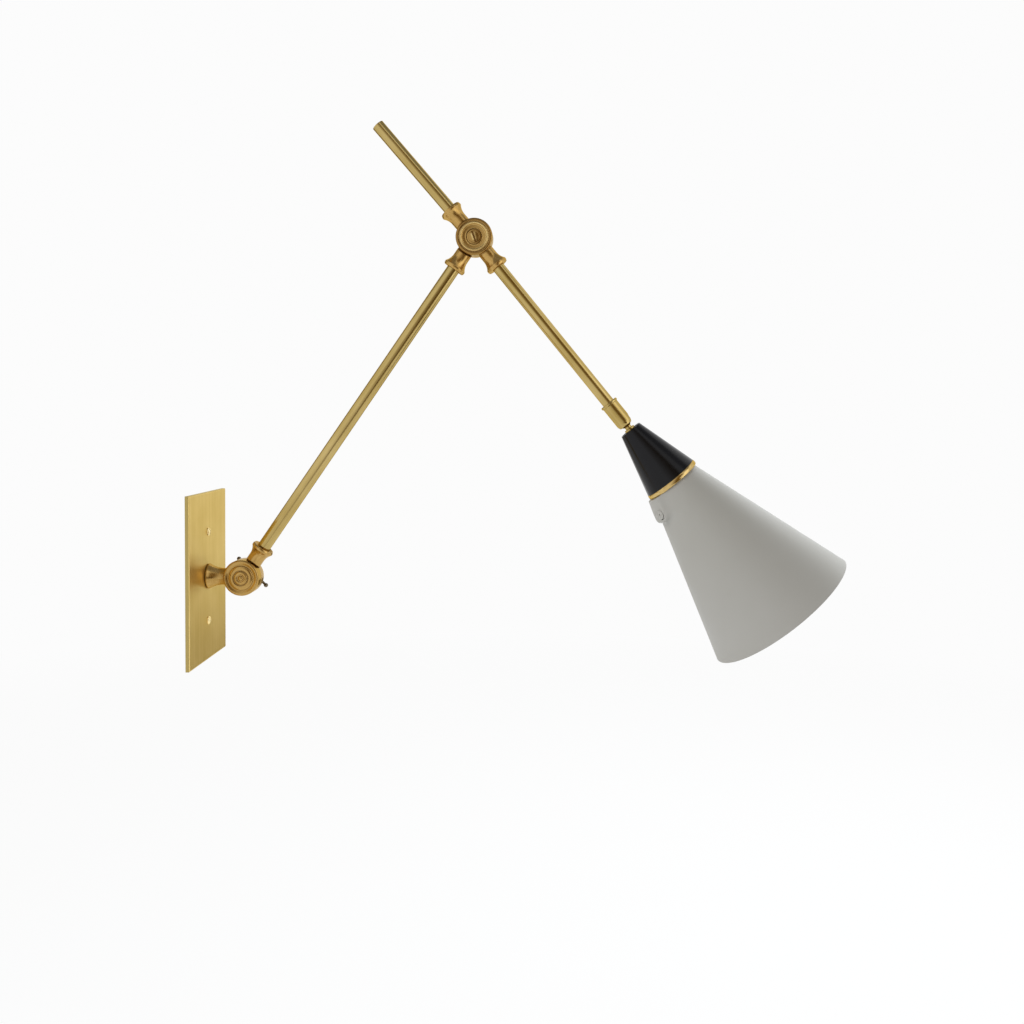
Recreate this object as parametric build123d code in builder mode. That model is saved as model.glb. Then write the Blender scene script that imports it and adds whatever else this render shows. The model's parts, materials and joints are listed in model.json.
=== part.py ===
"""Swing arm wall lamp: wall plate, swivel stem, two jointed arms, ball swivel and conical shade.

Origin: centre of the wall plate's back face, on the wall. +X points out of the wall and +Z up.
At rest both arms lie in the plane Y = 0. Lengths are millimetres.
"""

import os
from math import cos, hypot, radians, sin, sqrt

from build123d import *

os.makedirs("parts", exist_ok=True)

# Wall plate and its screws
PLATE_WIDTH = 114.3
PLATE_HEIGHT = 167.5
PLATE_THICK = 4.0
PLATE_BEVEL = 0.8
SCREW_SPACING = 88.9
SCREW_SHANK_R = 2.08
SCREW_NECK_R = 1.8
SCREW_HEAD_R = 4.3
SCREW_HEAD_RISE = 2.3
SCREW_REACH = 18.0

# Places of the joints
BASE_OUT = 39.5
LOWER_LENGTH = 404.8
LOWER_RISE = 55.95
UPPER_DROP = 50.0
TAIL_RISE = 48.4
TAIL_LENGTH = 143.0
BALL_REACH = 229.5
HEAD_DROP = 49.3

# Knuckles: two discs on one axis, each half as thick as the knuckle
GAP = 0.4
KNUCKLE_R = 17.8
SHOULDER = 9.0
FACE = 10.9
PLAIN_FACE = 11.0
PIVOT_SEAT = 8.0
CLEAR_R = 19.2
CAVITY_IN_R = 8.2
CAVITY_OUT_R = 13.4
CAVITY_DEPTH = 6.0
WASHER_IN_R = 13.7
WASHER_OUT_R = 17.0
WASHER_THICK = 0.5
SHAFT_R = 3.0
RUNNING = 0.05
BLIND_DEPTH = 8.0

# Trumpet collars, measured from the pivot along the arm
NECK_R = 7.8
NECK_START = 14.0
FLARE_START = 24.0
RIM_R = 11.1
RIM_START = 33.1
RIM_WIDTH = 1.7
COLLAR_END = 36.4
CUP_R = 9.9
CUP_FLOOR_R = 7.7
CUP_DEPTH = 2.4
SEAT_START = 24.0
THROAT_R = 3.6
THROAT_START = 20.4
LEAD_WAY_R = 2.0
LEAD_WAY_SIDE = 2.6

# Tubes and leads
LOWER_TUBE_R = 6.4
UPPER_TUBE_R = 6.05
TUBE_WALL = 1.0
LEAD_R = 1.9
BUSHING_LENGTH = 4.0
FIT = 0.05

# Stem, from the wall plate to the base knuckle
STEM_GAP = 0.3
STEM_NECK_R = 8.3
STEM_FOOT_R = 12.4
NIPPLE_R = 4.9
NIPPLE_BORE_R = 3.3
NIPPLE_BACK = -12.0
NIPPLE_FRONT = 15.0
LOCK_NUT_ACROSS = 16.0
LOCK_NUT_THICK = 3.2

# T-handle behind the base knuckle
TOMMY_OUT = 32.0
TOMMY_BAR_R = 1.3
TOMMY_HALF = 19.3
TOMMY_BALL_R = 2.2
TOMMY_ANGLE = -44.0

# Swivel, measured from the elbow along the upper arm
TUBE_END = 212.6
SWIVEL_START = 206.2
SWIVEL_R = 8.2
SWIVEL_LIP_R = 9.1
SLEEVE_START = 208.8
SWIVEL_END = 234.0
BALL_R = 7.0
BALL_NECK_R = 3.3
SLOT_HALF = 3.6
FLANGE_START = 238.0

# Cap, ring and shade, measured along the head's axis, with the ball at BALL_REACH
CAP_START = 240.5
CAP_END = 301.0
CAP_TOP_R = 11.2
CAP_END_R = 27.9
CAP_WALL = 1.2
RING_R = 28.3
SHADE_START = 304.75
SHADE_END = 470.3
SHADE_TOP_R = 25.65
SHADE_END_R = 78.35
SHADE_WALL = 1.1

# Lampholder for a 26 mm screw base
HOLDER_R = 17.0
HOLDER_END = 330.0
SCREW_SHELL_R = 13.0

# Push switch on the shade
SWITCH_REACH = 322.0
SWITCH_TURN = 31.0
SWITCH_RISE = 5.6
SWITCH_R = 10.6
SWITCH_ROUND = 3.8
BUTTON_R = 4.75
BUTTON_TRAVEL = 1.5

OUT = Vector(1, 0, 0)
ACROSS = Vector(0, 1, 0)
FRONT = Vector(0, -1, 0)
BACK = Vector(0, 1, 0)
TO_WALL = Vector(-1, 0, 0)
LOWER_UP = Vector(cos(radians(LOWER_RISE)), 0, sin(radians(LOWER_RISE)))
LOWER_DOWN = LOWER_UP * -1
UPPER_DOWN = Vector(cos(radians(UPPER_DROP)), 0, -sin(radians(UPPER_DROP)))
TAIL_UP = Vector(-cos(radians(TAIL_RISE)), 0, sin(radians(TAIL_RISE)))
HEAD_DOWN = Vector(cos(radians(HEAD_DROP)), 0, -sin(radians(HEAD_DROP)))
WALL = Vector(0, 0, 0)
BASE = OUT * BASE_OUT
ELBOW = BASE + LOWER_UP * LOWER_LENGTH
BALL = ELBOW + UPPER_DOWN * BALL_REACH
HEAD = BALL - HEAD_DOWN * BALL_REACH


def side_of(direction):
    """A unit vector square to the direction: across the lamp, or out of the wall for a cross pin."""
    return OUT if abs(direction.Y) > 0.99 else ACROSS


def section_plane(origin, direction):
    """Plane whose X is the radius and whose Y is the distance along the direction."""
    side = side_of(direction)
    return Plane(origin=origin, x_dir=side, z_dir=side.cross(direction))


def square_plane(origin, direction, distance=0.0):
    """Plane square to the direction, at a distance along it."""
    return Plane(origin=origin + direction * distance, x_dir=side_of(direction), z_dir=direction)


def dome_arc(start, top):
    """An arc in an outline from its start up to the axis, square to the axis at the top."""
    rise = top - start.Y
    sphere_r = (start.X**2 + rise**2) / (2 * rise)
    middle = start.X / 2
    return ThreePointArc(start, (middle, top - sphere_r + sqrt(sphere_r**2 - middle**2)), (0, top))


def turn(origin, direction, outline, mode=Mode.ADD):
    """Turn a closed outline of (radius, distance) points about the line through the origin."""
    with BuildSketch(section_plane(origin, direction)) as section:
        with BuildLine():
            Polyline(*outline, close=True)
        make_face()
    revolve(section.sketch, axis=Axis(origin, direction), mode=mode)


def rod(origin, direction, radius, start, end, mode=Mode.ADD):
    """A round rod, or with Mode.SUBTRACT a round hole."""
    turn(origin, direction, [(0, start), (radius, start), (radius, end), (0, end)], mode)


def ring(origin, direction, inner, outer, start, end, mode=Mode.ADD):
    """A flat ring or a length of tube."""
    turn(origin, direction, [(inner, start), (outer, start), (outer, end), (inner, end)], mode)


def hexagon_nut(origin, direction, across_flats, inner, start, end):
    """A hexagon nut with a round hole."""
    with BuildSketch(square_plane(origin, direction, start)) as flats:
        RegularPolygon(across_flats / 2, 6, major_radius=False)
        Circle(inner, mode=Mode.SUBTRACT)
    extrude(flats.sketch, amount=end - start)


def finish(piece, label):
    """Label a finished piece and write it."""
    piece.part.label = label
    export_step(piece.part, f"parts/{label}.step")


def knuckle_disc(pivot, side, face):
    """Half a knuckle: a disc with turned rings, a recessed face or a plain face."""
    with BuildSketch(section_plane(pivot, side)) as section:
        with BuildLine():
            flat = Line((0, GAP), (KNUCKLE_R - 0.4, GAP))
            edge = Polyline(flat @ 1, (KNUCKLE_R, GAP + 0.4), (KNUCKLE_R, SHOULDER))
            shoulder = TangentArc(edge @ 1, (15.2, FACE), tangent=(0, 1))
            if face == "rings":
                outer_groove = Polyline(shoulder @ 1, (13.3, 10.0), (12.3, 10.0), (11.9, 10.8))
                band = ThreePointArc(outer_groove @ 1, (10.0, 11.6), (7.9, 11.5))
                middle_groove = Polyline(band @ 1, (7.6, 10.8), (6.9, 10.8), (6.6, 11.6))
                small_ring = ThreePointArc(middle_groove @ 1, (5.2, 12.2), (3.9, 11.9))
                inner_groove = Polyline(small_ring @ 1, (3.6, 11.3), (2.6, 11.3), (2.2, 12.0))
                nub = dome_arc(inner_groove @ 1, 12.8)
                Line(nub @ 1, flat @ 0)
            elif face == "recess":
                ridge_foot = Line(shoulder @ 1, (14.3, 10.5))
                ridge = ThreePointArc(ridge_foot @ 1, (13.1, 11.8), (11.9, 10.6))
                wall = Polyline(ridge @ 1, (11.6, 9.4), (8.6, 9.1), (8.2, 9.4), (7.8, 9.4))
                seat = Polyline(wall @ 1, (7.8, PIVOT_SEAT), (0, PIVOT_SEAT))
                Line(seat @ 1, flat @ 0)
            else:
                groove = Polyline(shoulder @ 1, (14.2, 10.3), (13.6, 10.3), (13.2, PLAIN_FACE))
                plain = Line(groove @ 1, (0, PLAIN_FACE))
                Line(plain @ 1, flat @ 0)
        make_face()
    revolve(section.sketch, axis=Axis(pivot, side))


def trumpet_collar(pivot, direction):
    """A neck that flares to a rim with a dished end, where a tube goes in."""
    cup_floor = COLLAR_END - CUP_DEPTH
    with BuildSketch(section_plane(pivot, direction)) as section:
        with BuildLine():
            neck = Polyline((0, NECK_START), (NECK_R, NECK_START), (NECK_R, FLARE_START))
            flare = TangentArc(neck @ 1, (RIM_R, RIM_START), tangent=(0, 1))
            rim = Polyline(flare @ 1, (RIM_R, RIM_START + RIM_WIDTH), (RIM_R - 0.7, COLLAR_END))
            lip = Line(rim @ 1, (CUP_R, COLLAR_END))
            cup = Polyline(lip @ 1, (CUP_FLOOR_R, cup_floor), (0, cup_floor))
            Line(cup @ 1, neck @ 0)
        make_face()
    revolve(section.sketch, axis=Axis(pivot, direction))


def clear_other_half(pivot, side):
    """Cut away all that would stand in the other disc's space."""
    rod(pivot, side * -1, CLEAR_R, -GAP, NECK_R + 6, Mode.SUBTRACT)


def hollow_knuckle(pivot, side):
    """The ring-shaped space round the pivot screw, where the lead passes."""
    ring(pivot, side, CAVITY_IN_R, CAVITY_OUT_R, GAP - 0.1, CAVITY_DEPTH, Mode.SUBTRACT)


def bore_collar(pivot, direction, side, tube_r):
    """The tube's seat, the throat behind it and the lead's way into the knuckle."""
    rod(pivot, direction, tube_r + FIT, SEAT_START, COLLAR_END + 1, Mode.SUBTRACT)
    rod(pivot, direction, THROAT_R, THROAT_START, SEAT_START, Mode.SUBTRACT)
    way = pivot + side * LEAD_WAY_SIDE
    rod(way, direction, LEAD_WAY_R, CAVITY_OUT_R - 1, THROAT_START + 1, Mode.SUBTRACT)


def bushings(origin, direction, tube_r, places):
    """Insulating bushings that hold the lead in a tube, one at each place."""
    for place in places:
        ring(origin, direction, LEAD_R + FIT, tube_r - TUBE_WALL - FIT, place, place + BUSHING_LENGTH)


# Wall plate
with BuildPart() as backplate:
    with BuildSketch(Plane.YZ):
        Rectangle(PLATE_WIDTH, PLATE_HEIGHT)
    extrude(amount=PLATE_THICK)
    front_edges = backplate.faces().sort_by(Axis.X)[-1].edges()
    chamfer(front_edges, PLATE_BEVEL)
    rod(WALL, OUT, NIPPLE_R + 0.07, -1, PLATE_THICK + 1, Mode.SUBTRACT)
    for height in (SCREW_SPACING / 2, -SCREW_SPACING / 2):
        rod(Vector(0, 0, height), OUT, SCREW_SHANK_R + 0.4, -1, PLATE_THICK + 1, Mode.SUBTRACT)
finish(backplate, "backplate")

# Two domed, slotted screws into the outlet box
with BuildPart() as mounting_screws:
    for height in (SCREW_SPACING / 2, -SCREW_SPACING / 2):
        place = Vector(0, 0, height)
        rod(place, OUT, SCREW_SHANK_R, -SCREW_REACH, 0)
        rod(place, OUT, SCREW_NECK_R, -0.5, PLATE_THICK + 0.5)
        with BuildSketch(section_plane(place, OUT)) as head:
            with BuildLine():
                under = Line((0, PLATE_THICK), (SCREW_HEAD_R, PLATE_THICK))
                edge = Line(under @ 1, (SCREW_HEAD_R, PLATE_THICK + 0.5))
                dome = dome_arc(edge @ 1, PLATE_THICK + SCREW_HEAD_RISE)
                Line(dome @ 1, under @ 0)
            make_face()
        revolve(head.sketch, axis=Axis(place, OUT))
        with BuildSketch(square_plane(place, OUT, PLATE_THICK + 1.1)) as slot:
            Rectangle(1.2, SCREW_HEAD_R * 2 + 1, rotation=20)
        extrude(slot.sketch, amount=SCREW_HEAD_RISE, mode=Mode.SUBTRACT)
finish(mounting_screws, "mounting_screws")

# Stem with the front half of the base knuckle
STEM_FOOT = BASE_OUT - PLATE_THICK - STEM_GAP
with BuildPart() as base_stem:
    knuckle_disc(BASE, FRONT, "rings")
    with BuildSketch(section_plane(BASE, TO_WALL)) as stem_section:
        with BuildLine():
            stem_neck = Polyline((0, NECK_START), (STEM_NECK_R, NECK_START), (STEM_NECK_R, 20.0))
            stem_flare = TangentArc(stem_neck @ 1, (STEM_FOOT_R, STEM_FOOT - 1.4), tangent=(0, 1))
            stem_rim = Line(stem_flare @ 1, (STEM_FOOT_R, STEM_FOOT - 0.4))
            stem_foot = Polyline(stem_rim @ 1, (STEM_FOOT_R - 0.4, STEM_FOOT), (0, STEM_FOOT))
            Line(stem_foot @ 1, stem_neck @ 0)
        make_face()
    revolve(stem_section.sketch, axis=Axis(BASE, TO_WALL))
    clear_other_half(BASE, FRONT)
    hollow_knuckle(BASE, FRONT)
    rod(BASE, FRONT, SHAFT_R + RUNNING, GAP - 1, BLIND_DEPTH, Mode.SUBTRACT)
    rod(BASE, TO_WALL, NIPPLE_R + FIT, BASE_OUT - NIPPLE_FRONT, STEM_FOOT + 1, Mode.SUBTRACT)
    rod(BASE, TO_WALL, THROAT_R, THROAT_START, BASE_OUT - NIPPLE_FRONT, Mode.SUBTRACT)
    rod(BASE + FRONT * LEAD_WAY_SIDE, TO_WALL, LEAD_WAY_R, CAVITY_OUT_R - 1, THROAT_START + 1, Mode.SUBTRACT)
finish(base_stem, "base_stem")

# Hollow threaded nipple that the stem turns with
with BuildPart() as stem_nipple:
    ring(WALL, OUT, NIPPLE_BORE_R, NIPPLE_R, NIPPLE_BACK, NIPPLE_FRONT)
finish(stem_nipple, "stem_nipple")

# Washer and lock nut behind the plate
with BuildPart() as stem_spring_washer:
    ring(WALL, OUT, NIPPLE_R + FIT, 8.6, -1.2, -0.4)
finish(stem_spring_washer, "stem_spring_washer")

with BuildPart() as stem_lock_nut:
    hexagon_nut(WALL, TO_WALL, LOCK_NUT_ACROSS, NIPPLE_R + FIT, 1.2, 1.2 + LOCK_NUT_THICK)
finish(stem_lock_nut, "stem_lock_nut")

# Fibre washers between the knuckle halves
with BuildPart() as base_friction_washer:
    ring(BASE, FRONT, WASHER_IN_R, WASHER_OUT_R, GAP - WASHER_THICK, GAP)
finish(base_friction_washer, "base_friction_washer")

with BuildPart() as elbow_friction_washer:
    ring(ELBOW, FRONT, WASHER_IN_R, WASHER_OUT_R, GAP - WASHER_THICK, GAP)
finish(elbow_friction_washer, "elbow_friction_washer")

# Clamp screw with a ball top, crossed by the tommy bar
TOMMY_DIRECTION = Vector(cos(radians(TOMMY_ANGLE)), 0, sin(radians(TOMMY_ANGLE)))
TOMMY_CENTRE = BASE + BACK * TOMMY_OUT
CLAMP_SEAT = PLAIN_FACE + 1.2
with BuildPart() as clamp_screw:
    with BuildSketch(section_plane(BASE, BACK)) as clamp_section:
        with BuildLine():
            shaft = Polyline((0, 0.5 - BLIND_DEPTH), (SHAFT_R, 0.5 - BLIND_DEPTH), (SHAFT_R, CLAMP_SEAT))
            flange = Polyline(shaft @ 1, (6.2, CLAMP_SEAT), (6.2, CLAMP_SEAT + 1.4), (5.2, CLAMP_SEAT + 2.2))
            waist = ThreePointArc(flange @ 1, (3.7, CLAMP_SEAT + 7.6), (3.6, TOMMY_OUT - 3.75))
            ball = ThreePointArc(waist @ 1, (5.2, TOMMY_OUT), (0, TOMMY_OUT + 5.2))
            Line(ball @ 1, shaft @ 0)
        make_face()
    revolve(clamp_section.sketch, axis=Axis(BASE, BACK))
    rod(TOMMY_CENTRE, TOMMY_DIRECTION, TOMMY_BAR_R + FIT, -8, 8, Mode.SUBTRACT)
finish(clamp_screw, "clamp_screw")

with BuildPart() as tommy_bar:
    rod(TOMMY_CENTRE, TOMMY_DIRECTION, TOMMY_BAR_R, 1.2 - TOMMY_HALF, TOMMY_HALF - 1.2)
finish(tommy_bar, "tommy_bar")

# Balls on the bar's ends, each with a blind hole for the bar
HOLE_R = TOMMY_BAR_R + FIT
HOLE_FLOOR = -1.1
with BuildPart() as tommy_bar_balls:
    for direction in (TOMMY_DIRECTION, TOMMY_DIRECTION * -1):
        ball_place = TOMMY_CENTRE + direction * TOMMY_HALF
        with BuildSketch(section_plane(ball_place, direction)) as ball_section:
            with BuildLine():
                skin = ThreePointArc(
                    (HOLE_R, -sqrt(TOMMY_BALL_R**2 - HOLE_R**2)),
                    (TOMMY_BALL_R, 0),
                    (0, TOMMY_BALL_R),
                )
                hole = Polyline(skin @ 1, (0, HOLE_FLOOR), (HOLE_R, HOLE_FLOOR))
                Line(hole @ 1, skin @ 0)
            make_face()
        revolve(ball_section.sketch, axis=Axis(ball_place, direction))
finish(tommy_bar_balls, "tommy_bar_balls")

with BuildPart() as clamp_washer:
    ring(BASE, BACK, SHAFT_R + 0.1, 7.2, PLAIN_FACE, PLAIN_FACE + 0.9)
finish(clamp_washer, "clamp_washer")

# Lower arm: rear half of the base knuckle
with BuildPart() as base_arm_hub:
    knuckle_disc(BASE, BACK, "plain")
    trumpet_collar(BASE, LOWER_UP)
    clear_other_half(BASE, BACK)
    hollow_knuckle(BASE, BACK)
    bore_collar(BASE, LOWER_UP, BACK, LOWER_TUBE_R)
    rod(BASE, BACK, SHAFT_R + RUNNING, GAP - 1, PLAIN_FACE + 1, Mode.SUBTRACT)
finish(base_arm_hub, "base_arm_hub")

TUBE_GAP = 0.1
with BuildPart() as lower_tube:
    ring(
        BASE,
        LOWER_UP,
        LOWER_TUBE_R - TUBE_WALL,
        LOWER_TUBE_R,
        SEAT_START + TUBE_GAP,
        LOWER_LENGTH - SEAT_START - TUBE_GAP,
    )
finish(lower_tube, "lower_tube")

with BuildPart() as lower_tube_bushings:
    bushings(BASE, LOWER_UP, LOWER_TUBE_R, (SEAT_START + 1, LOWER_LENGTH - SEAT_START - 1 - BUSHING_LENGTH))
finish(lower_tube_bushings, "lower_tube_bushings")

with BuildPart() as lower_lead:
    rod(BASE, LOWER_UP, LEAD_R, THROAT_START + 0.2, LOWER_LENGTH - THROAT_START - 0.2)
finish(lower_lead, "lower_lead")

# Lower arm: rear half of the elbow
with BuildPart() as elbow_lower_hub:
    knuckle_disc(ELBOW, BACK, "rings")
    trumpet_collar(ELBOW, LOWER_DOWN)
    clear_other_half(ELBOW, BACK)
    hollow_knuckle(ELBOW, BACK)
    bore_collar(ELBOW, LOWER_DOWN, BACK, LOWER_TUBE_R)
    rod(ELBOW, BACK, SHAFT_R + RUNNING, GAP - 1, BLIND_DEPTH, Mode.SUBTRACT)
finish(elbow_lower_hub, "elbow_lower_hub")

# Slotted pivot screw in the elbow's recessed face
PIVOT_HEAD = PIVOT_SEAT + 1.2
with BuildPart() as elbow_pivot_screw:
    with BuildSketch(section_plane(ELBOW, FRONT)) as pivot_section:
        with BuildLine():
            pivot_end = Line((0, 0.5 - BLIND_DEPTH), (SHAFT_R, 0.5 - BLIND_DEPTH))
            pivot_shank = Polyline(pivot_end @ 1, (SHAFT_R, PIVOT_HEAD), (5.6, PIVOT_HEAD))
            pivot_edge = Line(pivot_shank @ 1, (5.6, PIVOT_HEAD + 1.2))
            pivot_dome = dome_arc(pivot_edge @ 1, PIVOT_HEAD + 2.2)
            Line(pivot_dome @ 1, pivot_end @ 0)
        make_face()
    revolve(pivot_section.sketch, axis=Axis(ELBOW, FRONT))
    with BuildSketch(square_plane(ELBOW, FRONT, PIVOT_HEAD + 0.9)) as pivot_slot:
        Rectangle(14, 1.7, rotation=110)
    extrude(pivot_slot.sketch, amount=3, mode=Mode.SUBTRACT)
finish(elbow_pivot_screw, "elbow_pivot_screw")

with BuildPart() as elbow_spring_washer:
    washer_section = [(3.4, 0.45), (7.2, 0), (7.2, 0.4), (3.4, 0.85)]
    turn(ELBOW + FRONT * PIVOT_SEAT, FRONT, washer_section)
finish(elbow_spring_washer, "elbow_spring_washer")

# Upper arm: front half of the elbow with both collars
with BuildPart() as elbow_upper_hub:
    knuckle_disc(ELBOW, FRONT, "recess")
    trumpet_collar(ELBOW, UPPER_DOWN)
    trumpet_collar(ELBOW, TAIL_UP)
    clear_other_half(ELBOW, FRONT)
    hollow_knuckle(ELBOW, FRONT)
    bore_collar(ELBOW, UPPER_DOWN, FRONT, UPPER_TUBE_R)
    bore_collar(ELBOW, TAIL_UP, FRONT, UPPER_TUBE_R)
    rod(ELBOW, FRONT, SHAFT_R + RUNNING, GAP - 1, PIVOT_SEAT + 1, Mode.SUBTRACT)
finish(elbow_upper_hub, "elbow_upper_hub")

with BuildPart() as upper_tube:
    ring(ELBOW, UPPER_DOWN, UPPER_TUBE_R - TUBE_WALL, UPPER_TUBE_R, SEAT_START + TUBE_GAP, TUBE_END)
finish(upper_tube, "upper_tube")

with BuildPart() as upper_tube_bushings:
    bushings(ELBOW, UPPER_DOWN, UPPER_TUBE_R, (SEAT_START + 1, 196.0))
finish(upper_tube_bushings, "upper_tube_bushings")

with BuildPart() as upper_lead:
    rod(ELBOW, UPPER_DOWN, LEAD_R, THROAT_START + 0.2, 217.0)
finish(upper_lead, "upper_lead")

with BuildPart() as tail_tube:
    ring(ELBOW, TAIL_UP, UPPER_TUBE_R - TUBE_WALL, UPPER_TUBE_R, SEAT_START + TUBE_GAP, TAIL_LENGTH)
finish(tail_tube, "tail_tube")

with BuildPart() as tail_plug:
    plug_r = UPPER_TUBE_R - TUBE_WALL - FIT
    turn(
        ELBOW,
        TAIL_UP,
        [
            (0, TAIL_LENGTH - 8),
            (plug_r - 0.6, TAIL_LENGTH - 8),
            (plug_r, TAIL_LENGTH - 7.2),
            (plug_r, TAIL_LENGTH - 0.5),
            (plug_r - 0.3, TAIL_LENGTH - 0.2),
            (0, TAIL_LENGTH - 0.2),
        ],
    )
finish(tail_plug, "tail_plug")

# Hollow flanged screw that keeps the swivel on the tube
RETAINER_FLANGE = TUBE_END + 2.4
with BuildPart() as swivel_retainer:
    turn(
        ELBOW,
        UPPER_DOWN,
        [
            (LEAD_R + 0.5, SWIVEL_START),
            (UPPER_TUBE_R - TUBE_WALL - FIT, SWIVEL_START),
            (UPPER_TUBE_R - TUBE_WALL - FIT, TUBE_END),
            (4.0, TUBE_END),
            (4.0, RETAINER_FLANGE),
            (5.2, RETAINER_FLANGE),
            (5.2, RETAINER_FLANGE + 2),
            (LEAD_R + 0.5, RETAINER_FLANGE + 2),
        ],
    )
finish(swivel_retainer, "swivel_retainer")

# Swivel: collar that turns on the tube's end
with BuildPart() as swivel_collar:
    turn(
        ELBOW,
        UPPER_DOWN,
        [
            (UPPER_TUBE_R + 0.08, SWIVEL_START),
            (SWIVEL_LIP_R - 0.6, SWIVEL_START),
            (SWIVEL_LIP_R, SWIVEL_START + 0.7),
            (SWIVEL_LIP_R, SLEEVE_START - 0.6),
            (SWIVEL_LIP_R - 0.6, SLEEVE_START),
            (SWIVEL_R - 0.95, SLEEVE_START),
            (SWIVEL_R - 0.95, 219.0),
            (5.6, 219.0),
            (5.6, TUBE_END + 2.1),
            (4.08, TUBE_END + 2.1),
            (4.08, TUBE_END + 0.3),
            (UPPER_TUBE_R + 0.08, TUBE_END + 0.3),
        ],
    )
finish(swivel_collar, "swivel_collar")

# Swivel: sleeve with a domed end that holds the ball, slotted so that the neck can tilt
SLEEVE_BORE_R = SWIVEL_R - 0.9
SOCKET_R = BALL_R + 0.06
NOSE = SWIVEL_END - BALL_REACH
TILT_SIDE = UPPER_DOWN.cross(ACROSS)
with BuildPart() as swivel_sleeve:
    with BuildSketch(section_plane(BALL, UPPER_DOWN)) as sleeve_section:
        with BuildLine():
            back = SLEEVE_START + FIT - BALL_REACH
            barrel = Polyline((SLEEVE_BORE_R, 0), (SLEEVE_BORE_R, back), (SWIVEL_R, back), (SWIVEL_R, 0))
            nose_r = sqrt(SWIVEL_R**2 - NOSE**2)
            lip_r = sqrt(SOCKET_R**2 - NOSE**2)
            dome = ThreePointArc(
                barrel @ 1,
                (SWIVEL_R * cos(radians(16)), SWIVEL_R * sin(radians(16))),
                (nose_r, NOSE),
            )
            lip = Line(dome @ 1, (lip_r, NOSE))
            socket = ThreePointArc(
                lip @ 1,
                (SOCKET_R * cos(radians(20)), SOCKET_R * sin(radians(20))),
                (SOCKET_R, 0),
            )
            Line(socket @ 1, barrel @ 0)
        make_face()
    revolve(sleeve_section.sketch, axis=Axis(BALL, UPPER_DOWN))
    with BuildSketch(Plane(origin=BALL, x_dir=UPPER_DOWN, z_dir=TILT_SIDE)) as slot_section:
        Circle(SLOT_HALF)
        with Locations((NOSE, 0)):
            Rectangle(2 * NOSE, 2 * SLOT_HALF)
    extrude(slot_section.sketch, amount=SWIVEL_R + 2, mode=Mode.SUBTRACT)
finish(swivel_sleeve, "swivel_sleeve")

# Seat ring that presses on the back of the ball
with BuildPart() as ball_seat:
    ring(ELBOW, UPPER_DOWN, 3.6, SLEEVE_BORE_R - FIT, 219.05, 225.2)
    with Locations(BALL):
        Sphere(SOCKET_R, mode=Mode.SUBTRACT)
finish(ball_seat, "ball_seat")

# Ball with its neck, flange and threaded stub, drilled through for the lead
STUB_END = 252.0
with BuildPart() as swivel_ball:
    with Locations(BALL):
        Sphere(BALL_R)
    rod(HEAD, HEAD_DOWN, BALL_NECK_R, BALL_REACH, FLANGE_START)
    turn(
        HEAD,
        HEAD_DOWN,
        [
            (0, FLANGE_START),
            (5.0, FLANGE_START),
            (5.4, FLANGE_START + 0.4),
            (5.4, CAP_START),
            (NIPPLE_R - FIT, CAP_START),
            (NIPPLE_R - FIT, STUB_END),
            (0, STUB_END),
        ],
    )
    rod(HEAD, HEAD_DOWN, 2.2, BALL_REACH - BALL_R - 1, STUB_END + 1, Mode.SUBTRACT)
finish(swivel_ball, "swivel_ball")

# Cone cap over the lampholder
CAP_SLOPE = (CAP_END_R - CAP_TOP_R) / (CAP_END - CAP_START)
CAP_SKIN = CAP_WALL * hypot(1, CAP_SLOPE)
CAP_TOP_THICK = 1.6
with BuildPart() as shade_cap:
    turn(
        HEAD,
        HEAD_DOWN,
        [
            (NIPPLE_R + FIT, CAP_START),
            (CAP_TOP_R - 1.5, CAP_START),
            (CAP_TOP_R - 1.2, CAP_START - 0.5),
            (CAP_TOP_R - 0.3, CAP_START - 0.5),
            (CAP_TOP_R, CAP_START - 0.1),
            (CAP_TOP_R, CAP_START),
            (CAP_END_R, CAP_END),
            (CAP_END_R - CAP_SKIN, CAP_END),
            (CAP_TOP_R - CAP_SKIN + CAP_SLOPE * CAP_TOP_THICK, CAP_START + CAP_TOP_THICK),
            (NIPPLE_R + FIT, CAP_START + CAP_TOP_THICK),
        ],
    )
finish(shade_cap, "shade_cap")

with BuildPart() as cap_nut:
    hexagon_nut(HEAD, HEAD_DOWN, 14.0, NIPPLE_R, CAP_START + CAP_TOP_THICK, CAP_START + CAP_TOP_THICK + 3)
finish(cap_nut, "cap_nut")

# Coupling and nipple that carry the lampholder below the ball's stub
COUPLING_START = 246.0
COUPLING_END = 266.0
with BuildPart() as socket_coupling:
    ring(HEAD, HEAD_DOWN, NIPPLE_R, 7.2, COUPLING_START, COUPLING_END)
finish(socket_coupling, "socket_coupling")

with BuildPart() as socket_nipple:
    ring(HEAD, HEAD_DOWN, NIPPLE_BORE_R, NIPPLE_R - FIT, 254.0, 275.0)
finish(socket_nipple, "socket_nipple")

with BuildPart() as socket_lead:
    rod(HEAD, HEAD_DOWN, LEAD_R, BALL_REACH - 5, 280.0)
finish(socket_lead, "socket_lead")

# Lampholder: brass cap, outer shell with shoulder and thread, insulator, screw shell and contact
with BuildPart() as lampholder_cap:
    turn(
        HEAD,
        HEAD_DOWN,
        [
            (NIPPLE_R, 266.2),
            (8.2, 266.2),
            (8.2, 271.0),
            (11.5, 273.0),
            (15.2, 278.5),
            (16.2, 284.0),
            (15.0, 284.0),
            (14.1, 279.2),
            (10.9, 274.4),
            (7.6, 272.4),
            (NIPPLE_R, 272.4),
        ],
    )
finish(lampholder_cap, "lampholder_cap")

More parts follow.
